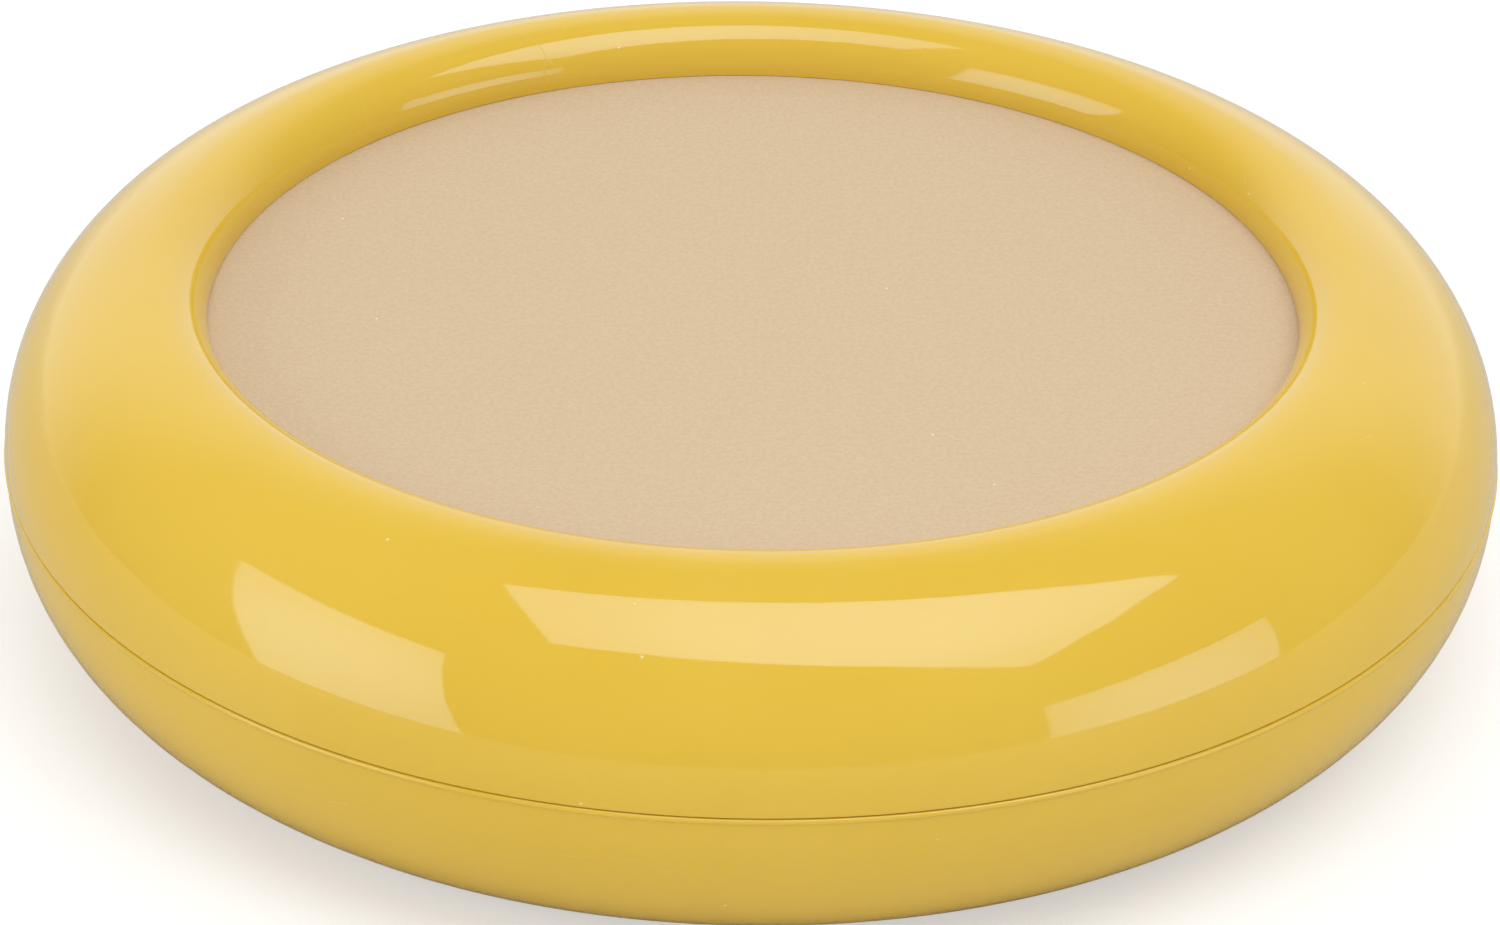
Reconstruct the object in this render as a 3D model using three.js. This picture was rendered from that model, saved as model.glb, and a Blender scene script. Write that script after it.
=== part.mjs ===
// A round case: two glossy ring-shaped shells that meet at a seam round the middle, each with a
// matte membrane stretched across its opening. The upper shell lifts straight off the lower one.
// Millimetres, +Z up. The case stands on the lower shell's foot, with the foot's centre at the origin.
//
// Every piece is a body of revolution. Its section is drawn as [radius, reach] points, where reach
// is the distance from the seam plane: upwards in the upper half, downwards in the lower half.

import * as THREE from "three";

// ---- Driving dimensions ----

const FACETS = 60; // flats round every piece
const ARC_STEP = 8; // degrees between the points of an outer arc
const INNER_ARC_STEP = 12; // and of an arc inside a shell
const CLEARANCE = 0.3; // between pieces that touch or slide on each other

const OUTER_RADIUS = 60; // the lower shell at its widest
const RIM_WIDTH = 16.5; // from the outside to the membrane's visible edge
const WALL = 2; // thickness of both shells

// Upper shell: a round flank that runs into a rounded rim, then a short straight wall down to the
// membrane.
const UPPER_INSET = 0.1; // the upper shell is this much smaller in radius
const UPPER_FLANK_ROUND = 14.9;
const RIM_ROUND = 4.1;
const LIP_WALL = 0.2; // height of the straight wall under the rounded rim

// Lower shell: a rounder flank that is widest a little below the seam, and a flat foot.
const LOWER_FLANK_ROUND = 15;
const LOWER_WIDEST = 1.1; // below the seam
const FOOT_START = 76; // degrees down the flank
const FOOT_ROUND = 2;
const FOOT_SETBACK = 2.2; // from the opening's edge to the foot's inner edge
const FOOT_INNER_ROUND = 1.2;
const FOOT_WALL_STEEPNESS = 70; // degrees

// The seam: the shells part here, and the lower one has a small bead along its edge.
const SEAM_GAP = 0.3;
const SEAM_BEAD = 0.25; // radius of the bead's rounded corner
const SEAM_BEAD_PROUD = 0.15; // how far the bead stands out of the flank
const SKIRT_DEPTH = 4; // the straight bore inside the upper shell's edge
const SKIRT_WALL = 2.5;
const SPIGOT_HEIGHT = 4.2; // the lower shell's collar, above the seam
const SPIGOT_WALL = 1.6;
const SPIGOT_PLAY = 0.8; // between the collar and the upper shell's bore

// The membranes, and the rings that clamp their edges.
const MEMBRANE = 1.2; // thickness
const BEAD_WIDTH = 2; // the thick edge of a membrane
const BEAD_DEPTH = 2.2;
const LEDGE = 3.2; // how far a membrane reaches under the lip
const SOCKET_WALL = 1.5; // the collar round a membrane's edge
const CLAMP_WIDTH = 3.8;
const CLAMP_FLOOR = 1.4;

// The seal ring, in a groove round the spigot.
const SEAL_WIDTH = 1.1;
const SEAL_HEIGHT = 1.6;
const GROOVE_DEPTH = 1;
const GROOVE_START = 1; // above the seam

// ---- Materials ----

const yellowPlastic = () =>
  new THREE.MeshStandardMaterial({ color: 0xecc63f, roughness: 0.14, metalness: 0 });
const membraneRubber = () =>
  new THREE.MeshStandardMaterial({ color: 0xdcc09a, roughness: 0.8, metalness: 0 });
const sealRubber = () =>
  new THREE.MeshStandardMaterial({ color: 0xd8cfc0, roughness: 0.6, metalness: 0 });

// ---- Drawing a section ----

const radians = THREE.MathUtils.degToRad;
const at = (radius, reach) => new THREE.Vector2(radius, reach);

// The direction of a surface normal: 0 points away from the axis, 90 away from the seam plane and
// 180 towards the axis.
const normal = (degrees) => at(Math.cos(radians(degrees)), Math.sin(radians(degrees)));

// Follows a smooth outline: each arc starts where the last one ended, with the same normal.
class Outline {
  constructor(start, startNormal, arcStep) {
    this.points = [start.clone()];
    this.angle = startNormal;
    this.arcStep = arcStep;
  }

  get end() {
    return this.points[this.points.length - 1];
  }

  arc(round, toNormal) {
    const centre = this.end.clone().addScaledVector(normal(this.angle), -round);
    const steps = Math.max(1, Math.ceil(Math.abs(toNormal - this.angle) / this.arcStep));
    for (let i = 1; i <= steps; i++) {
      const angle = THREE.MathUtils.lerp(this.angle, toNormal, i / steps);
      this.points.push(centre.clone().addScaledVector(normal(angle), round));
    }
    this.angle = toNormal;
    return this;
  }

  // Straight on, square to the present normal.
  straight(length) {
    this.points.push(this.end.clone().addScaledVector(normal(this.angle + 90), length));
    return this;
  }

  // Straight on until the outline is this far from the axis.
  straightTo(radius) {
    return this.straight((radius - this.end.x) / normal(this.angle + 90).x);
  }
}

// The part of an outline that lies outside a radius, with its end on that radius.
function outsideRadius(points, radius) {
  const firstInside = points.findIndex((point) => point.x < radius);
  const a = points[firstInside - 1];
  const b = points[firstInside];
  const crossing = a.clone().lerp(b, (radius - a.x) / (b.x - a.x));
  return [...points.slice(0, firstInside), crossing];
}

// Turns a section about the axis. side is 1 above the seam plane and -1 below it.
function revolved(name, section, side, material) {
  const profile = section.map((point) => at(point.x, seamHeight + side * point.y));
  if (THREE.ShapeUtils.area(profile) < 0) profile.reverse();
  profile.push(profile[0].clone());
  const geometry = new THREE.LatheGeometry(profile, FACETS).rotateX(Math.PI / 2);
  const mesh = new THREE.Mesh(geometry, material);
  mesh.name = name;
  return mesh;
}

// ---- Outer and inner outlines of the two shells ----

const openingRadius = OUTER_RADIUS - RIM_WIDTH;
const socketRadius = openingRadius + LEDGE + CLEARANCE;
const socketOuterRadius = socketRadius + SOCKET_WALL;
const upperRadius = OUTER_RADIUS - UPPER_INSET;

// How far up the flank, in degrees, it has to run into the rounded rim for the two arcs together
// to be as wide as the rim.
const rimStart = THREE.MathUtils.radToDeg(
  Math.acos(
    (UPPER_FLANK_ROUND + RIM_ROUND - (upperRadius - openingRadius)) /
      (UPPER_FLANK_ROUND - RIM_ROUND),
  ),
);

// From the seam over the rim and down to the lip's edge, set in by a depth of material.
function upperOutline(depth, arcStep) {
  const outline = new Outline(at(upperRadius - depth, SEAM_GAP / 2), 0, arcStep).arc(
    UPPER_FLANK_ROUND - depth,
    rimStart,
  );
  if (depth > 0) return outline.arc(RIM_ROUND - depth, 90).straightTo(openingRadius).points;
  return outline.arc(RIM_ROUND, 180).straight(LIP_WALL).points;
}

// From the seam round the belly to the foot, and up the foot's inner wall to the opening's edge.
function lowerOutline(depth, arcStep) {
  const seamNormal = -THREE.MathUtils.radToDeg(Math.asin(LOWER_WIDEST / LOWER_FLANK_ROUND));
  const centre = at(OUTER_RADIUS - SEAM_BEAD_PROUD - LOWER_FLANK_ROUND, LOWER_WIDEST);
  const round = LOWER_FLANK_ROUND - depth;
  const start = centre.clone().addScaledVector(normal(seamNormal), round);
  const outline = new Outline(start, seamNormal, arcStep)
    .arc(round, FOOT_START)
    .arc(Math.max(FOOT_ROUND - depth, 0), 90);
  if (depth > 0) return outline.straightTo(openingRadius).points;
  return outline
    .straightTo(openingRadius + FOOT_SETBACK)
    .arc(FOOT_INNER_ROUND, 90 + FOOT_WALL_STEEPNESS)
    .straightTo(openingRadius).points;
}

const upper = { outer: upperOutline(0, ARC_STEP), inner: upperOutline(WALL, INNER_ARC_STEP) };
const lower = { outer: lowerOutline(0, ARC_STEP), inner: lowerOutline(WALL, INNER_ARC_STEP) };
for (const half of [upper, lower]) {
  half.edgeReach = half.outer[half.outer.length - 1].y;
  half.membraneFace = half.edgeReach - CLEARANCE;
}
const seamHeight = Math.max(...lower.outer.map((point) => point.y));

// Where the clamp ring ends, measured from the membrane's outer face.
const clampReach = BEAD_DEPTH + CLEARANCE + CLAMP_FLOOR;

// Inside a shell, next to the opening: the ledge that the membrane lies under, and its socket.
function socket(half) {
  const mouth = half.membraneFace - clampReach;
  return [
    at(socketOuterRadius, mouth),
    at(socketRadius, mouth),
    at(socketRadius, half.edgeReach),
  ];
}

// ---- The pieces ----

const boreRadius = upperRadius - SKIRT_WALL;
const spigotRadius = boreRadius - SPIGOT_PLAY;

function upperShell() {
  const inner = outsideRadius(upper.inner, socketOuterRadius);
  const aboveBore = inner.filter((point) => point.x < boreRadius && point.y > SKIRT_DEPTH);
  const section = [
    at(boreRadius, SEAM_GAP / 2),
    ...upper.outer,
    ...socket(upper).reverse(),
    ...aboveBore.reverse(),
    at(boreRadius, SKIRT_DEPTH),
  ];
  return revolved("upper_shell", section, 1, yellowPlastic());
}

function lowerShell() {
  const seam = SEAM_GAP / 2;
  const beadEnd = seam + 2 * SEAM_BEAD;
  const belowBead = lower.outer.filter((point) => point.y > beadEnd);
  const bead = new Outline(at(OUTER_RADIUS - SEAM_BEAD, seam), -90, 30)
    .arc(SEAM_BEAD, 30).points;
  const inner = outsideRadius(lower.inner, socketOuterRadius);
  const belowSpigot = inner.filter((point) => point.y > seam + WALL);
  const grooveRadius = spigotRadius - GROOVE_DEPTH;
  const spigotInner = grooveRadius - SPIGOT_WALL;
  const grooveEnd = GROOVE_START + SEAL_HEIGHT + 2 * CLEARANCE;
  const section = [
    at(spigotInner, seam + WALL),
    at(spigotInner, -SPIGOT_HEIGHT),
    at(spigotRadius, -SPIGOT_HEIGHT),
    at(spigotRadius, -grooveEnd),
    at(grooveRadius, -grooveEnd),
    at(grooveRadius, -GROOVE_START),
    at(spigotRadius, -GROOVE_START),
    at(spigotRadius, seam),
    ...bead,
    ...belowBead,
    ...socket(lower).reverse(),
    ...belowSpigot.reverse(),
  ];
  return revolved("lower_shell", section, -1, yellowPlastic());
}

// A thin sheet with a thick edge that hangs towards the inside of the case.
function membrane(name, half, side) {
  const face = half.membraneFace;
  const edge = socketRadius - CLEARANCE;
  const section = [
    at(0, face - MEMBRANE),
    at(edge - BEAD_WIDTH, face - MEMBRANE),
    at(edge - BEAD_WIDTH, face - BEAD_DEPTH),
    at(edge, face - BEAD_DEPTH),
    at(edge, face),
    at(0, face),
  ];
  return revolved(name, section, side, membraneRubber());
}

// An L-shaped ring that fills the socket and presses the membrane's edge against the ledge.
function clampRing(name, half, side) {
  const end = half.membraneFace - clampReach;
  const floor = end + CLAMP_FLOOR;
  const lipReach = half.membraneFace - MEMBRANE - CLEARANCE;
  const outer = socketRadius - CLEARANCE;
  const inner = outer - CLAMP_WIDTH;
  const lip = outer - BEAD_WIDTH - CLEARANCE;
  const section = [
    at(inner, end),
    at(outer, end),
    at(outer, floor),
    at(lip, floor),
    at(lip, lipReach),
    at(inner, lipReach),
  ];
  return revolved(name, section, side, yellowPlastic());
}

function sealRing() {
  const inner = spigotRadius - GROOVE_DEPTH + CLEARANCE;
  const start = GROOVE_START + CLEARANCE;
  const crest = (SEAL_HEIGHT - SEAL_WIDTH / 2) / 2;
  const section = [
    at(inner, start),
    at(inner + SEAL_WIDTH / 2, start),
    at(inner + SEAL_WIDTH, start + crest),
    at(inner + SEAL_WIDTH, start + SEAL_HEIGHT - crest),
    at(inner + SEAL_WIDTH / 2, start + SEAL_HEIGHT),
    at(inner, start + SEAL_HEIGHT),
  ];
  return revolved("seal_ring", section, 1, sealRubber());
}

// ---- The assembly: what stays put, and what lifts off ----

const base = new THREE.Group();
base.name = "base";
base.add(lowerShell());
base.add(membrane("lower_membrane", lower, -1));
base.add(clampRing("lower_clamp_ring", lower, -1));
base.add(sealRing());

const lid = new THREE.Group();
lid.name = "lid";
lid.add(upperShell());
lid.add(membrane("upper_membrane", upper, 1));
lid.add(clampRing("upper_clamp_ring", upper, 1));

const roundCase = new THREE.Group();
roundCase.name = "round_case";
roundCase.add(base, lid);

export default roundCase;
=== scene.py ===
# %% [markdown]
# # A round two-part case in glossy yellow plastic
# The case is two ring-shaped shells that meet at a seam round the middle, each with a matte tan
# membrane set into its opening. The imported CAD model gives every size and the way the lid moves.
# Blender adds what a coarse solid can't show: true curves, rounded edges and the finish of each
# material. The model is in metres, and the sections below are drawn in millimetres.

import bpy
import numpy as np
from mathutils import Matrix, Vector


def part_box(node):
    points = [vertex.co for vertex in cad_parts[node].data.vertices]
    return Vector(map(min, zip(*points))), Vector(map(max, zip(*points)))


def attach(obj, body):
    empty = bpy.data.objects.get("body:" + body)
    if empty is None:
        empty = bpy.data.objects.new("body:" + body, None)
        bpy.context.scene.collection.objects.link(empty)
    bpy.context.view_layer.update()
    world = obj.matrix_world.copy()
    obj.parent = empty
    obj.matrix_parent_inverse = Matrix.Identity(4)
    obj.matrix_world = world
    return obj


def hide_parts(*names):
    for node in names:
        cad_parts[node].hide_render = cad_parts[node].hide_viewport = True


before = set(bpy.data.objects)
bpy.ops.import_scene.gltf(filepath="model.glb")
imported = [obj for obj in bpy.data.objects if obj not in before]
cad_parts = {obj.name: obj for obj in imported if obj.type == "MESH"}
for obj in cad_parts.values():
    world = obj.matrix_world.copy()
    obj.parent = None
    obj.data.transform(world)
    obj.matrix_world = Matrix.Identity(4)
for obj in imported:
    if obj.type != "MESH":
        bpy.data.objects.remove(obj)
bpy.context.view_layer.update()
MM = 0.001


# %% [markdown]
# Every piece is round about the same upright axis, so three numbers place it: its outer radius,
# its underside and its top. They are read off the CAD nodes, so that the fine pieces stay in step
# with the coarse ones.


# %% Where each CAD node is
def extent(node):
    """A node's outer radius, lowest height and highest height, in millimetres."""
    low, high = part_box(node)
    return high.x / MM, low.z / MM, high.z / MM


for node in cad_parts:
    print(node, [round(value, 3) for value in extent(node)])

# %% [markdown]
# A turned piece is one section carried round the axis. Sections are arrays of (radius, height)
# points. Large curves are true arcs. Small corners could be drawn as arcs one by one, but a real
# moulding has no sharp corner anywhere, so one helper rounds them all: it blurs the outline a
# little, then spends its points where the outline bends.


# %% Drawing a section
def polar(centre, radius, degrees):
    """The points at a radius and at angles from a centre; 0 points outwards and 90 up."""
    angle = np.radians(degrees)
    return np.stack(
        [centre[0] + radius * np.cos(angle), centre[1] + radius * np.sin(angle)], axis=-1
    )


def arc(centre, radius, start, end):
    """A circular arc, with a point every two degrees or less."""
    steps = max(2, int(np.ceil(abs(end - start) / 2)) + 1)
    return polar(centre, radius, np.linspace(start, end, steps))


def path_length(points):
    """How far along a line of points each one lies."""
    steps = np.hypot(*np.diff(points, axis=0).T)
    return np.concatenate([[0.0], np.cumsum(steps)])


def evenly(points, spacing):
    """The same line, with points at equal spacing along it."""
    along = path_length(points)
    places = np.linspace(0.0, along[-1], int(np.ceil(along[-1] / spacing)) + 1)
    return np.stack([np.interp(places, along, points[:, axis]) for axis in (0, 1)], axis=-1)


def soften(corners, blur, count, closed=True):
    """Rounds every corner of an outline and picks count points on it.

    Each point becomes the average of its neighbours under a bell curve that is blur wide. The
    points that are kept are equally far apart in length plus turning angle, so tight bends get
    more of them. An open outline starts and ends on the axis and is mirrored there.
    """
    spacing = blur / 3
    outline = np.concatenate([corners, corners[:1]]) if closed else np.asarray(corners)
    fine = evenly(outline, spacing)
    reach = 12
    if closed:
        fine = fine[:-1]
        padded = np.concatenate([fine[-reach:], fine, fine[:reach]])
    else:
        mirror = np.array([-1.0, 1.0])
        padded = np.concatenate(
            [fine[reach:0:-1] * mirror, fine, fine[-2 : -2 - reach : -1] * mirror]
        )
    bell = np.exp(-0.5 * (np.arange(-reach, reach + 1) * spacing / blur) ** 2)
    bell /= bell.sum()
    smooth = np.stack([np.convolve(padded[:, axis], bell, "valid") for axis in (0, 1)], axis=-1)
    loop = np.concatenate([smooth, smooth[:1]]) if closed else smooth
    steps = np.diff(loop, axis=0)
    heading = np.unwrap(np.arctan2(steps[:, 1], steps[:, 0]))
    turning = np.abs(np.diff(heading, append=heading[-1]))
    length = np.hypot(*steps.T)
    cost = np.concatenate([[0.0], np.cumsum(length / length.sum() + 0.25 * turning)])
    places = np.linspace(0.0, cost[-1], count + 1)
    kept = np.stack([np.interp(places, cost, loop[:, axis]) for axis in (0, 1)], axis=-1)
    return kept[:-1] if closed else kept


# %% [markdown]
# The section becomes a surface of two parameters: the place along the section and the angle round
# the axis. A screw or spin modifier could do it too. Working the points out directly gives one
# clean grid, closed at its poles, and lets a piece wander a little, as the edges of a
# real moulding do.


# %% Turning a section into a piece
TURNS = 360


def turned(name, section, closed=True, wander=None):
    """A surface of revolution: x and y are the radius times cosine and sine, z is the height.

    wander(angle, radius, height) gives an extra height for each point of the grid, in
    millimetres. An open section runs from the axis to the axis and is closed by fans of
    triangles.
    """
    ring = np.roll(section, -1, axis=0) if closed else section[1:]
    first = section if closed else section[:-1]
    area = np.sum(first[:, 0] * ring[:, 1] - ring[:, 0] * first[:, 1])
    if area < 0:
        section = section[::-1]
    rows = section if closed else section[1:-1]
    angle = np.linspace(0.0, 2 * np.pi, TURNS, endpoint=False)
    radius, height = rows[:, :1], np.repeat(rows[:, 1:], TURNS, axis=1)
    if wander is not None:
        height = height + wander(angle[None, :], radius, height)
    points = np.stack([radius * np.cos(angle), radius * np.sin(angle), height], axis=-1)
    vertices = points.reshape(-1, 3)

    count = len(rows)
    row = np.arange(count if closed else count - 1)[:, None]
    column = np.arange(TURNS)[None, :]
    after, beside = (row + 1) % count, (column + 1) % TURNS
    corners = [row * TURNS + column, row * TURNS + beside, after * TURNS + beside]
    corners.append(after * TURNS + column)
    quads = np.stack(np.broadcast_arrays(*corners), axis=-1).reshape(-1, 4)
    faces = quads.tolist()
    if not closed:
        poles = np.array([[0.0, 0.0, section[0, 1]], [0.0, 0.0, section[-1, 1]]])
        vertices = np.concatenate([vertices, poles])
        here, there, top = column[0], beside[0], (count - 1) * TURNS
        low, high = np.full(TURNS, len(vertices) - 2), np.full(TURNS, len(vertices) - 1)
        faces += np.stack([low, there, here], axis=-1).tolist()
        faces += np.stack([top + here, top + there, high], axis=-1).tolist()

    mesh = bpy.data.meshes.new(name)
    mesh.from_pydata((vertices * MM).tolist(), [], faces)
    mesh.shade_smooth()
    piece = bpy.data.objects.new(name, mesh)
    bpy.context.scene.collection.objects.link(piece)
    print(name, "has", len(mesh.vertices), "points and", len(mesh.polygons), "faces")
    return piece


# %% [markdown]
# The shells are what the eye meets first. In section the upper one is two arcs that flow into
# each other: a full flank, then a tight rounded rim that rolls over into a short wall at the
# membrane. The angle where one arc hands over to the other follows from the width of the rim.
# Inside, the wall is two millimetres thick, with a socket for the membrane's edge.

# %% The upper shell's section
OPENING = 43.5
WALL = 2.0
UPPER_FLANK = 14.9
RIM = 4.1
SOCKET = 47.0
SOCKET_WALL = 1.5
SOCKET_OUTER = SOCKET + SOCKET_WALL
BORE = 57.4
CONTACT = 0.01
EDGE_ROUND = 0.16
CRACK = 0.035
CAD_SEAM_GAP = 0.3

upper_radius, seam_top, upper_top = extent("upper_shell")
_, _, upper_face = extent("upper_membrane")
_, upper_mouth, _ = extent("upper_clamp_ring")
seam_plane = seam_top - CAD_SEAM_GAP / 2
upper_edge = seam_plane + CRACK / 2

upper_centre = np.array([upper_radius - UPPER_FLANK, seam_top])
hand_over = np.degrees(
    np.arccos((UPPER_FLANK + RIM - (upper_radius - OPENING)) / (UPPER_FLANK - RIM))
)
rim_centre = polar(upper_centre, UPPER_FLANK - RIM, hand_over)
inner_flank = UPPER_FLANK - WALL
bore_angle = np.degrees(np.arccos((BORE - upper_centre[0]) / inner_flank))
socket_angle = np.degrees(np.arccos((SOCKET_OUTER - upper_centre[0]) / inner_flank))
upper_lip = upper_face + CONTACT
upper_section = np.concatenate(
    [
        arc((upper_radius - EDGE_ROUND, upper_edge + EDGE_ROUND), EDGE_ROUND, -90, 0),
        arc(upper_centre, UPPER_FLANK, 1, hand_over),
        arc(rim_centre, RIM, hand_over, 180),
        [(OPENING, upper_lip), (SOCKET, upper_lip), (SOCKET, upper_mouth)],
        [(SOCKET_OUTER, upper_mouth)],
        arc(upper_centre, inner_flank, socket_angle, bore_angle),
        [(BORE, upper_edge)],
    ]
)
print("the rim takes over", round(hand_over, 1), "degrees up; its top is at", upper_top)

# %% [markdown]
# The lower shell has the same belly turned over. It is widest just under the seam, where a thin
# bead runs along its edge. The two edges almost touch, so the seam shows as a fine groove between
# two rounded corners. Above it a collar with the seal's groove stands inside the upper shell.
# Underneath, the foot is a narrow flat ring.

# %% The lower shell's section
LOWER_FLANK = 15.0
BEAD = 0.25
BEAD_PROUD = 0.15
WIDEST_BELOW = 1.1
FOOT_START = -76
FOOT_ROUND = 2.0
FOOT_INNER = 45.7
FOOT_INNER_ROUND = 1.2
SPIGOT = 56.6
SPIGOT_INNER = 54.0
GROOVE = 55.6
GROOVE_PLAY = 0.3

lower_radius, _, collar_top = extent("lower_shell")
_, lower_face, _ = extent("lower_membrane")
_, _, lower_mouth = extent("lower_clamp_ring")
_, seal_low, seal_high = extent("seal_ring")

lower_edge = seam_plane - CRACK / 2
lower_lip = lower_face - CONTACT
lower_centre = np.array([lower_radius - BEAD_PROUD - LOWER_FLANK, seam_plane - WIDEST_BELOW])
foot_centre = polar(lower_centre, LOWER_FLANK - FOOT_ROUND, FOOT_START)
bead_foot = lower_edge - 2 * BEAD
flank_start = np.degrees(np.arcsin((bead_foot - lower_centre[1]) / LOWER_FLANK))
inner_belly = LOWER_FLANK - WALL
shoulder = lower_edge - WALL
shoulder_angle = np.degrees(np.arcsin((shoulder - lower_centre[1]) / inner_belly))
groove_top, groove_floor = seal_high + GROOVE_PLAY, seal_low - GROOVE_PLAY
floor_angle = -np.degrees(np.arccos((SOCKET_OUTER - lower_centre[0]) / inner_belly))
lower_section = np.concatenate(
    [
        arc((lower_radius - BEAD, lower_edge - BEAD), BEAD, 90, -30),
        arc(lower_centre, LOWER_FLANK, flank_start, FOOT_START),
        arc(foot_centre, FOOT_ROUND, FOOT_START, -90),
        arc((FOOT_INNER, FOOT_INNER_ROUND), FOOT_INNER_ROUND, -90, -160),
        [(OPENING, lower_lip), (SOCKET, lower_lip), (SOCKET, lower_mouth)],
        [(SOCKET_OUTER, lower_mouth)],
        arc(lower_centre, inner_belly, floor_angle, shoulder_angle),
        [(SPIGOT_INNER, shoulder), (SPIGOT_INNER, collar_top), (SPIGOT, collar_top)],
        [(SPIGOT, groove_top), (GROOVE, groove_top)],
        [(GROOVE, groove_floor), (SPIGOT, groove_floor), (SPIGOT, lower_edge)],
    ]
)
print("the seam is at", round(seam_plane, 3), "mm and the foot's flat starts at", FOOT_INNER)

# %% [markdown]
# Two mouldings never meet in a perfectly even line. Each edge at the seam gets a slow wave of
# about a hundredth of a millimetre, made of a few sines with random phases. It fades out away from
# the seam, so the rest of the shell stays true, and it is too small for the two edges to touch.

# %% Uneven seam edges, and the two shells
random = np.random.default_rng(7)


def seam_wave(size):
    """Heights that wave round the seam: sines of 2 to 9 turns, weaker as they get finer."""
    turns = np.arange(2, 10)[:, None, None]
    phase = random.uniform(0, 2 * np.pi, turns.shape)
    strength = random.uniform(0.4, 1.0, turns.shape) / turns

    def wave(angle, radius, height):
        waves = (strength * np.sin(turns * angle[None] + phase)).sum(axis=0)
        outside = 1 / (1 + np.exp(-(radius - (SPIGOT + 1.5)) / 0.4))
        near = np.exp(-(((height - seam_plane) / 1.2) ** 2))
        return size * waves * outside * near

    return wave


upper_shell = turned(
    "upper_shell_fine", soften(upper_section, 0.06, 200), wander=seam_wave(0.008)
)
lower_shell = turned(
    "lower_shell_fine", soften(lower_section, 0.06, 240), wander=seam_wave(0.006)
)

# %% [markdown]
# Each membrane is a thin sheet with a thick bead along its edge. It lies under the lip of its
# opening, and an L-shaped ring presses the bead into the socket. The sheet is turned from an open
# section that starts and ends on the axis.

# %% Membranes and clamp rings
SHEET = 1.2
EDGE_BEAD = 2.0
RING_WIDTH = 3.8
RING_FLOOR = 1.4
BEAD_PLAY = 0.3


def membrane(name, node, side):
    """A sheet with a beaded edge. side is 1 where its outer face looks up, -1 where down."""
    radius, low, high = extent(node)
    outer, inner = (high, low) if side > 0 else (low, high)
    back = outer - side * SHEET
    inside = radius - EDGE_BEAD
    section = [(0, outer), (radius, outer), (radius, inner), (inside, inner)]
    section += [(inside, back), (0, back)]
    return turned(name, soften(np.array(section, float), 0.15, 110, closed=False), closed=False)


def clamp_ring(name, node, side):
    """An L-shaped ring: a floor under the membrane's bead and a wall beside it."""
    radius, low, high = extent(node)
    tip, base = (high, low) if side > 0 else (low, high)
    floor = base + side * RING_FLOOR
    inside, wall = radius - RING_WIDTH, radius - EDGE_BEAD - BEAD_PLAY
    section = [(inside, base), (radius, base), (radius, floor), (wall, floor)]
    section += [(wall, tip), (inside, tip)]
    return turned(name, soften(np.array(section, float), 0.12, 72))


upper_membrane = membrane("upper_membrane_fine", "upper_membrane", 1)
lower_membrane = membrane("lower_membrane_fine", "lower_membrane", -1)
upper_ring = clamp_ring("upper_clamp_ring_fine", "upper_clamp_ring", 1)
lower_ring = clamp_ring("lower_clamp_ring_fine", "lower_clamp_ring", -1)

# %% [markdown]
# The seal is a soft ring with a flat back, which lies in the groove, and a round front, which the
# upper shell's bore squeezes.

# %% The seal ring
SEAL = 1.1
SEAL_BACK = 0.4
seal_radius, _, _ = extent("seal_ring")
seal_back = seal_radius - SEAL
seal_front = (seal_high - seal_low) / 2
front_angle = np.linspace(-90, 90, 40)
front = np.stack(
    [
        seal_back + SEAL_BACK + (SEAL - SEAL_BACK) * np.cos(np.radians(front_angle)),
        (seal_low + seal_high) / 2 + seal_front * np.sin(np.radians(front_angle)),
    ],
    axis=-1,
)
seal_section = np.concatenate([[(seal_back, seal_low)], front, [(seal_back, seal_high)]])
seal = turned("seal_ring_fine", soften(seal_section, 0.08, 64))

# %% [markdown]
# Each fine piece now takes the place of its CAD node and moves with the same body. The node itself
# stays for collision.

# %% Bodies and nodes
pieces = {
    "lower_shell": (lower_shell, "base", "yellow_plastic"),
    "lower_membrane": (lower_membrane, "base", "membrane"),
    "lower_clamp_ring": (lower_ring, "base", "yellow_plastic"),
    "seal_ring": (seal, "base", "seal"),
    "upper_shell": (upper_shell, "lid", "yellow_plastic"),
    "upper_membrane": (upper_membrane, "lid", "membrane"),
    "upper_clamp_ring": (upper_ring, "lid", "yellow_plastic"),
}
for node, (piece, body, slot) in pieces.items():
    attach(piece, body)
    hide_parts(node)
print(len(pieces), "pieces stand for", len(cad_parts), "CAD nodes")

# %% [markdown]
# ## Finishes
# The small effects that several materials share are node groups: dust and hairlines that handling
# leaves, the slow drift of a moulding's colour and gloss, and a fine grain. Each group takes a
# position on the object and puts out values only, so a material decides what to do with them.


# %% Helpers for node groups
def new_group(name, outputs):
    """An empty shader group with a Position input and the given number outputs."""
    group = bpy.data.node_groups.new(name, "ShaderNodeTree")
    group.interface.new_socket("Position", in_out="INPUT", socket_type="NodeSocketVector")
    for output in outputs:
        group.interface.new_socket(output, in_out="OUTPUT", socket_type="NodeSocketFloat")
    return group, group.nodes.new("NodeGroupInput"), group.nodes.new("NodeGroupOutput")


def add(tree, kind, links=(), **settings):
    """Adds a node, sets its properties and plugs sockets into its inputs."""
    node = tree.nodes.new(kind)
    for key, value in settings.items():
        if key.startswith("in_"):
            node.inputs[key[3:].replace("_", " ")].default_value = value
        else:
            setattr(node, key, value)
    for socket, source in links:
        tree.links.new(source, node.inputs[socket])
    return node


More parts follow.
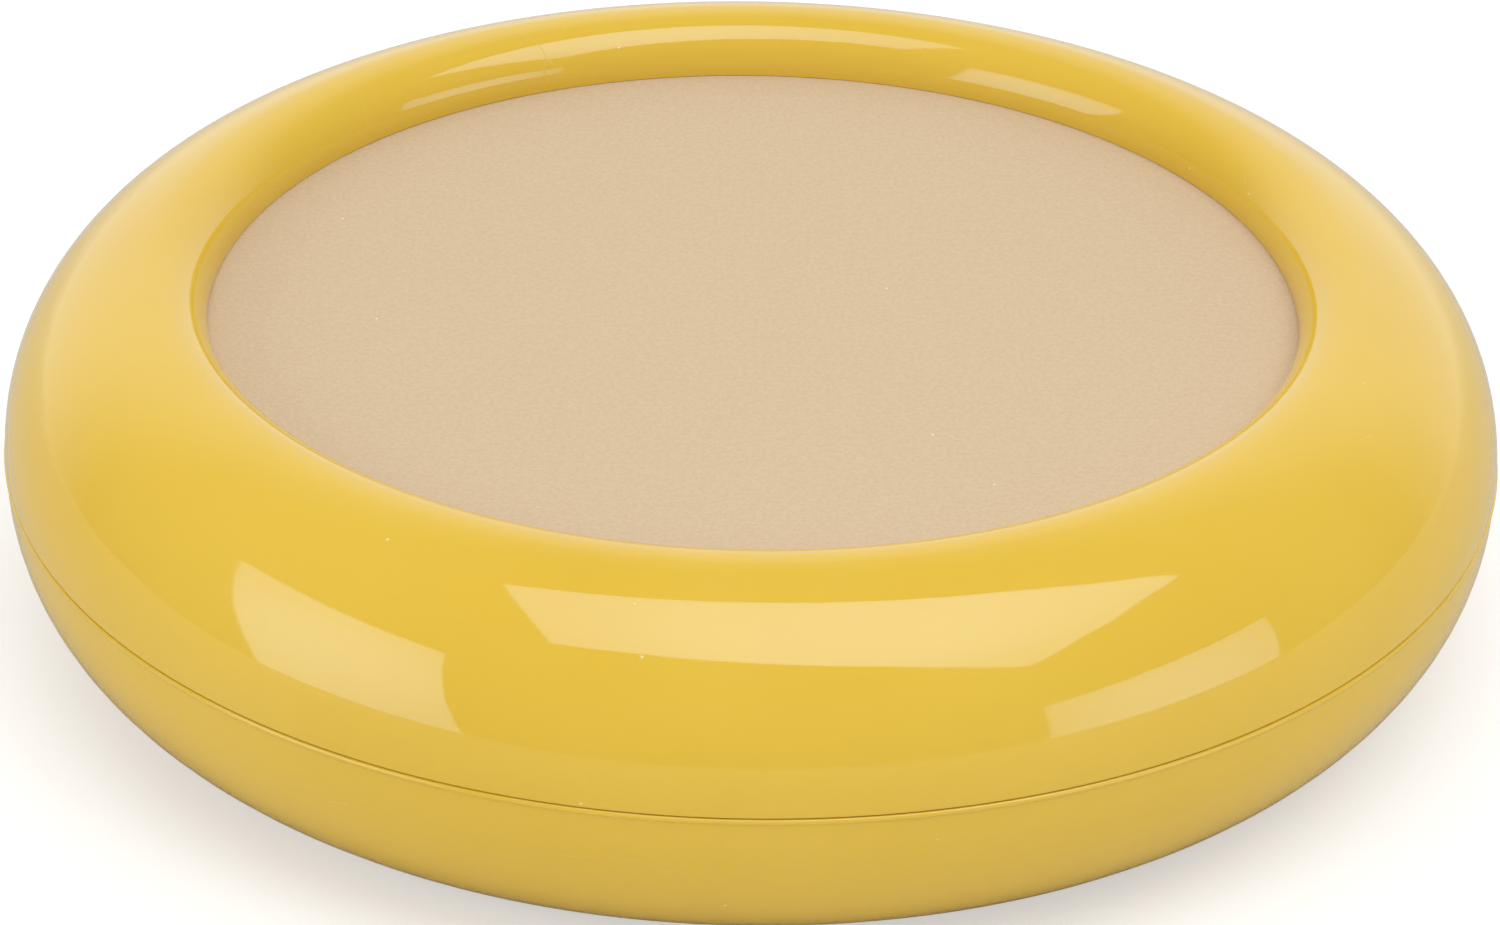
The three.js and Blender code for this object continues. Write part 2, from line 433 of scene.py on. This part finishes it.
def ramp(tree, source, low, high, to_low=0.0, to_high=1.0):
    """A smooth step: to_low below low, to_high above high, and eased in between."""
    node = tree.nodes.new("ShaderNodeMapRange")
    node.interpolation_type = "SMOOTHSTEP"
    tree.links.new(source, node.inputs["Value"])
    for socket, value in zip(
        ("From Min", "From Max", "To Min", "To Max"), (low, high, to_low, to_high)
    ):
        node.inputs[socket].default_value = value
    return node.outputs["Result"]


def times(tree, first, second):
    """The product of two values."""
    node = tree.nodes.new("ShaderNodeMath")
    node.operation = "MULTIPLY"
    tree.links.new(first, node.inputs[0])
    tree.links.new(second, node.inputs[1])
    return node.outputs[0]


# %% [markdown]
# Dust lies as single grains. A cell pattern puts one point in each cell of a few millimetres, and a
# grain is the small ball round that point. Only some cells keep theirs. Hairlines are the borders
# between large warped cells, cut to short lengths by a second pattern.

# %% Dust and hairlines
handling, inputs, outputs = new_group("Dust and hairlines", ["Dust", "Hairline"])
position = inputs.outputs["Position"]
grains = add(
    handling, "ShaderNodeTexVoronoi", [("Vector", position)], feature="F1", in_Scale=270.0
)
grain = ramp(handling, grains.outputs["Distance"], 0.022, 0.036, 1.0, 0.0)
channels = add(handling, "ShaderNodeSeparateColor", [("Color", grains.outputs["Color"])])
kept = ramp(handling, channels.outputs["Red"], 0.62, 0.63)
handling.links.new(times(handling, grain, kept), outputs.inputs["Dust"])

bend = add(
    handling, "ShaderNodeTexNoise", [("Vector", position)], in_Scale=45.0, in_Detail=1.0
)
offset = add(
    handling,
    "ShaderNodeVectorMath",
    [(0, bend.outputs["Color"])],
    operation="SCALE",
)
offset.inputs["Scale"].default_value = 0.02
warped = add(handling, "ShaderNodeVectorMath", [(0, position)], operation="ADD")
handling.links.new(offset.outputs[0], warped.inputs[1])
cells = add(
    handling,
    "ShaderNodeTexVoronoi",
    [("Vector", warped.outputs[0])],
    feature="DISTANCE_TO_EDGE",
    in_Scale=62.0,
)
line = ramp(handling, cells.outputs["Distance"], 0.0012, 0.0035, 1.0, 0.0)
gate = add(
    handling, "ShaderNodeTexNoise", [("Vector", position)], in_Scale=140.0, in_Detail=0.0
)
short = ramp(handling, gate.outputs["Fac"], 0.69, 0.77)
handling.links.new(times(handling, line, short), outputs.inputs["Hairline"])

# %% [markdown]
# A moulding's colour and gloss drift slowly from place to place, and its skin is never quite
# true: a faint ripple, the orange peel, makes reflections waver at their edges.

# %% Drift and ripple of a moulding
moulding, inputs, outputs = new_group("Moulded skin", ["Drift", "Ripple"])
position = inputs.outputs["Position"]
drift = add(moulding, "ShaderNodeTexNoise", [("Vector", position)], in_Scale=38.0, in_Detail=3.0)
moulding.links.new(drift.outputs["Fac"], outputs.inputs["Drift"])
ripple = add(
    moulding, "ShaderNodeTexNoise", [("Vector", position)], in_Scale=210.0, in_Detail=2.0
)
moulding.links.new(ripple.outputs["Fac"], outputs.inputs["Ripple"])

# %% [markdown]
# The membrane's grain is a dense field of bumps a third of a millimetre across. The same field,
# with a coarser one added, mottles the colour very slightly.

# %% Fine grain
grain_group, inputs, outputs = new_group("Fine grain", ["Height", "Mottle"])
position = inputs.outputs["Position"]
fine = add(
    grain_group, "ShaderNodeTexNoise", [("Vector", position)], in_Scale=2600.0, in_Detail=2.0
)
fine.inputs["Roughness"].default_value = 0.65
coarse = add(
    grain_group, "ShaderNodeTexNoise", [("Vector", position)], in_Scale=30.0, in_Detail=2.0
)
both = add(
    grain_group,
    "ShaderNodeMix",
    [(2, fine.outputs["Fac"]), (3, coarse.outputs["Fac"])],
    data_type="FLOAT",
)
both.inputs[0].default_value = 0.12
grain_group.links.new(fine.outputs["Fac"], outputs.inputs["Height"])
grain_group.links.new(both.outputs[0], outputs.inputs["Mottle"])


# %% [markdown]
# Each material starts the same way: a Principled shader, the object's own coordinates, and a group
# or two that read them. Values that are the same all over are set on the shader's own sockets.


# %% Helpers for materials
def new_material(name, roughness, ior):
    """A material with its node tree, its Principled shader and its object position."""
    material = bpy.data.materials.new(name)
    material.use_nodes = True
    tree = material.node_tree
    shader = tree.nodes["Principled BSDF"]
    shader.inputs["Roughness"].default_value = roughness
    shader.inputs["IOR"].default_value = ior
    place = tree.nodes.new("ShaderNodeTexCoord")
    return material, tree, shader, place.outputs["Object"]


def use(tree, group, position):
    """Places a node group in a material and feeds it the position."""
    node = tree.nodes.new("ShaderNodeGroup")
    node.node_tree = group
    tree.links.new(position, node.inputs["Position"])
    return node


def blend(tree, factor, first, second):
    """A colour between two colours. Each is a socket or a red, green, blue triple."""
    node = tree.nodes.new("ShaderNodeMix")
    node.data_type = "RGBA"
    tree.links.new(factor, node.inputs[0])
    for socket, colour in ((node.inputs[6], first), (node.inputs[7], second)):
        if isinstance(colour, tuple):
            socket.default_value = (*colour, 1.0)
        else:
            tree.links.new(colour, socket)
    return node.outputs[2]


def bump(tree, height, distance, strength, normal=None):
    """Raises the surface by height times distance, in metres, on top of another bump."""
    node = tree.nodes.new("ShaderNodeBump")
    node.inputs["Distance"].default_value = distance
    node.inputs["Strength"].default_value = strength
    tree.links.new(height, node.inputs["Height"])
    if normal is not None:
        tree.links.new(normal, node.inputs["Normal"])
    return node.outputs["Normal"]


# %% [markdown]
# The yellow plastic is moulded in colour and polished, so it has one strong hue and a clean
# reflection over it. Dust grains are pale and dull, and hairlines only catch the light.

# %% Yellow plastic
YELLOW = (0.685, 0.452, 0.046)
YELLOW_DEEP = (0.665, 0.430, 0.038)
yellow, tree, shader, position = new_material("Yellow plastic", 0.05, 1.57)
skin = use(tree, moulding, position)
marks = use(tree, handling, position)
shade = ramp(tree, skin.outputs["Drift"], 0.3, 0.7)
colour = blend(tree, shade, YELLOW_DEEP, YELLOW)
colour = blend(tree, marks.outputs["Dust"], colour, (0.80, 0.66, 0.32))
tree.links.new(colour, shader.inputs["Base Color"])
gloss = ramp(tree, skin.outputs["Drift"], 0.25, 0.75, 0.035, 0.065)
worn = add(tree, "ShaderNodeMath", [(0, marks.outputs["Dust"])], operation="MAXIMUM")
tree.links.new(marks.outputs["Hairline"], worn.inputs[1])
dull = add(tree, "ShaderNodeMix", [(0, worn.outputs[0]), (2, gloss)], data_type="FLOAT")
dull.inputs[3].default_value = 0.45
tree.links.new(dull.outputs[0], shader.inputs["Roughness"])
rippled = bump(tree, skin.outputs["Ripple"], 0.00002, 0.35)
scored = bump(tree, marks.outputs["Hairline"], -0.00001, 0.3, rippled)
tree.links.new(bump(tree, marks.outputs["Dust"], 0.00003, 0.8, scored), shader.inputs["Normal"])

# %% [markdown]
# The membrane is a soft rubber with no gloss at all. Its grain scatters the light, so the bump
# matters more than the colour.

# %% Membrane
TAN = (0.612, 0.469, 0.308)
TAN_DARK = (0.563, 0.421, 0.269)
tan, tree, shader, position = new_material("Tan membrane", 0.8, 1.45)
shader.inputs["Specular IOR Level"].default_value = 0.3
grainy = use(tree, grain_group, position)
marks = use(tree, handling, position)
mottle = ramp(tree, grainy.outputs["Mottle"], 0.25, 0.75)
colour = blend(tree, mottle, TAN_DARK, TAN)
colour = blend(tree, marks.outputs["Dust"], colour, (0.82, 0.70, 0.52))
tree.links.new(colour, shader.inputs["Base Color"])
rough = ramp(tree, grainy.outputs["Height"], 0.3, 0.7, 0.86, 0.72)
tree.links.new(rough, shader.inputs["Roughness"])
tree.links.new(bump(tree, grainy.outputs["Height"], 0.00006, 0.6), shader.inputs["Normal"])

# %% [markdown]
# The seal is a paler, smoother rubber, seen only when the lid is off.

# %% Seal rubber
rubber, tree, shader, position = new_material("Seal rubber", 0.55, 1.45)
skin = use(tree, moulding, position)
shade = ramp(tree, skin.outputs["Drift"], 0.3, 0.7)
colour = blend(tree, shade, (0.60, 0.54, 0.46), (0.69, 0.63, 0.54))
tree.links.new(colour, shader.inputs["Base Color"])
soft = ramp(tree, skin.outputs["Ripple"], 0.3, 0.7, 0.5, 0.62)
tree.links.new(soft, shader.inputs["Roughness"])
tree.links.new(bump(tree, skin.outputs["Ripple"], 0.00003, 0.4), shader.inputs["Normal"])

# %% Giving each piece its material
finishes = {"yellow_plastic": yellow, "membrane": tan, "seal": rubber}
for piece, _, slot in pieces.values():
    piece.data.materials.append(finishes[slot])
    print(piece.name, "is", finishes[slot].name)

# %% [markdown]
# ## The studio
# The case stands on a pale round table. Under strong lights the table washes out to white, and yet
# the case's own reflections of it stay weak in front, where the table is dim, and pale at the back,
# where it runs into the lit backdrop. The paint does the same by asking what kind of ray it meets
# and how far back on the table that is.

# %% The table
TABLE = 600.0
TABLE_TOP = -0.05
TABLE_UNDERSIDE = -6.05
table_section = np.array(
    [(0, TABLE_TOP), (TABLE, TABLE_TOP), (TABLE, TABLE_UNDERSIDE), (0, TABLE_UNDERSIDE)], float
)
table = turned("table", soften(table_section, 0.3, 60, closed=False), closed=False)
paint = bpy.data.materials.new("Table top")
paint.use_nodes = True
tree = paint.node_tree
shader = tree.nodes["Principled BSDF"]
shader.inputs["Roughness"].default_value = 0.7
shader.inputs["Specular IOR Level"].default_value = 0.2
rays = tree.nodes.new("ShaderNodeLightPath")
seen, mirrored = rays.outputs["Is Camera Ray"], rays.outputs["Is Glossy Ray"]
place = add(tree, "ShaderNodeTexCoord").outputs["Object"]
depth = add(tree, "ShaderNodeSeparateXYZ", [(0, place)]).outputs["Y"]
behind = ramp(tree, depth, 0.05, 0.4)
reflected = blend(tree, behind, (0.52, 0.52, 0.52), (0.95, 0.95, 0.95))
tone = blend(tree, mirrored, (0.84, 0.84, 0.85), reflected)
tree.links.new(blend(tree, seen, tone, (0.5, 0.5, 0.5)), shader.inputs["Base Color"])
tree.links.new(
    blend(tree, seen, (0.0, 0.0, 0.0), (0.5, 0.5, 0.5)), shader.inputs["Emission Color"]
)
shader.inputs["Emission Strength"].default_value = 1.0
table.data.materials.append(paint)

# %% [markdown]
# Three soft boxes light it: a large one overhead towards the front, and one low at each side. In
# gloss a light shows its outline, so each box is a flat glowing panel with four corners rather
# than a lamp. A real box is brightest in the middle, so the panels fade outwards. They show
# slightly blue in the gloss, which keeps the highlights on the yellow plastic pale.


# %% Soft boxes
def glowing_panel(name, corners, brightness):
    """A flat four-cornered light, given by its corners in order, in metres.

    Its brightness falls by a third from the middle to the corners.
    """
    mesh = bpy.data.meshes.new(name)
    mesh.from_pydata([tuple(corner) for corner in corners], [], [(0, 1, 2, 3)])
    glow = bpy.data.materials.new(name)
    glow.use_nodes = True
    tree = glow.node_tree
    tree.nodes.remove(tree.nodes["Principled BSDF"])
    place = add(tree, "ShaderNodeTexCoord").outputs["Object"]
    middle = np.mean(corners, axis=0)
    spread = np.linalg.norm(np.array(corners) - middle, axis=1).max()
    reach = add(tree, "ShaderNodeVectorMath", [(0, place)], operation="DISTANCE")
    reach.inputs[1].default_value = middle
    fade = ramp(
        tree, reach.outputs["Value"], 0.1 * spread, spread, 1.12 * brightness, 0.75 * brightness
    )
    mirrored = add(tree, "ShaderNodeLightPath").outputs["Is Glossy Ray"]
    hue = blend(tree, mirrored, (1.0, 1.0, 1.0), (0.70, 0.92, 1.12))
    light = add(tree, "ShaderNodeEmission", [("Strength", fade), ("Color", hue)])
    tree.links.new(light.outputs[0], tree.nodes["Material Output"].inputs["Surface"])
    mesh.materials.append(glow)
    panel = bpy.data.objects.new(name, mesh)
    panel.visible_camera = False
    bpy.context.scene.collection.objects.link(panel)
    print(name, "is", round(sum(face.area for face in mesh.polygons), 2), "square metres")


def standing_panel(name, bearing, corners, brightness):
    """A panel that stands a metre away and faces the case.

    bearing is in degrees from the camera's side, to the right. Each corner is how far it is along
    the panel, to the right as seen from the case, and its height.
    """
    away = np.array([np.sin(np.radians(bearing)), -np.cos(np.radians(bearing)), 0.0])
    along = np.array([np.cos(np.radians(bearing)), np.sin(np.radians(bearing)), 0.0])
    up = np.array([0.0, 0.0, 1.0])
    places = [away + shift * along + height * up for shift, height in corners]
    glowing_panel(name, places, brightness)


glowing_panel(
    "overhead_box",
    [(-0.35, 0.04, 1.0), (0.87, 0.02, 1.0), (0.94, -0.90, 1.0), (-0.45, -0.54, 1.0)],
    3.1,
)
standing_panel(
    "left_box", -66.0, [(-0.43, 0.70), (0.30, 0.77), (0.51, -0.02), (-0.09, -0.02)], 2.75
)
standing_panel(
    "right_box", 61.5, [(-0.35, 0.31), (0.34, 0.34), (0.31, -0.09), (-0.36, -0.09)], 2.3
)

# %% [markdown]
# The room is dim in front of the case, so the reflections of the boxes stand out there, and bright
# behind it, where a white backdrop pales the far edges of the gloss. Only the camera sees a pure
# white background.

# %% The room
world = bpy.data.worlds.new("Studio")
bpy.context.scene.world = world
world.use_nodes = True
tree = world.node_tree
room = tree.nodes["Background"]
direction = add(tree, "ShaderNodeTexCoord").outputs["Generated"]
parts = add(tree, "ShaderNodeSeparateXYZ", [(0, direction)])
rays = tree.nodes.new("ShaderNodeLightPath")
lit = ramp(tree, parts.outputs["Y"], 0.1, 0.65, 0.54, 1.0)
mirrored = ramp(tree, parts.outputs["Y"], 0.35, 0.8, 0.28, 1.1)
strength = add(
    tree,
    "ShaderNodeMix",
    [(0, rays.outputs["Is Glossy Ray"]), (2, lit), (3, mirrored)],
    data_type="FLOAT",
)
tree.links.new(strength.outputs[0], room.inputs["Strength"])
room.inputs["Color"].default_value = (1.0, 1.0, 1.0, 1.0)
white = add(tree, "ShaderNodeBackground", in_Color=(1.0, 1.0, 1.0, 1.0))
choice = tree.nodes.new("ShaderNodeMixShader")
tree.links.new(rays.outputs["Is Camera Ray"], choice.inputs[0])
tree.links.new(room.outputs[0], choice.inputs[1])
tree.links.new(white.outputs[0], choice.inputs[2])
tree.links.new(choice.outputs[0], tree.nodes["World Output"].inputs["Surface"])
bpy.context.scene.view_settings.view_transform = "Standard"

# %% [markdown]
# The camera looks down on the case from the front with a long lens, from about half a metre, aimed
# a little under the seam and rolled by about a degree.

# %% The camera
ELEVATION = np.radians(28.66)
DISTANCE = 475.2 * MM
seam_centre = Vector((-0.07 * MM, 0.0, seam_plane * MM))
camera_data = bpy.data.cameras.new("camera")
camera_data.lens = 141.15
camera_data.sensor_width = 36.0
camera_data.clip_start = 0.01
camera = bpy.data.objects.new("camera", camera_data)
camera.location = seam_centre + DISTANCE * Vector((0, -np.cos(ELEVATION), np.sin(ELEVATION)))
look = seam_centre - Vector((0, 0, 3.9 * MM)) - camera.location
camera.rotation_euler = look.to_track_quat("-Z", "Y").to_euler()
camera.rotation_euler.rotate_axis("Z", np.radians(0.92))
bpy.context.scene.collection.objects.link(camera)
bpy.context.scene.camera = camera
print("camera at", [round(v, 4) for v in camera.location])
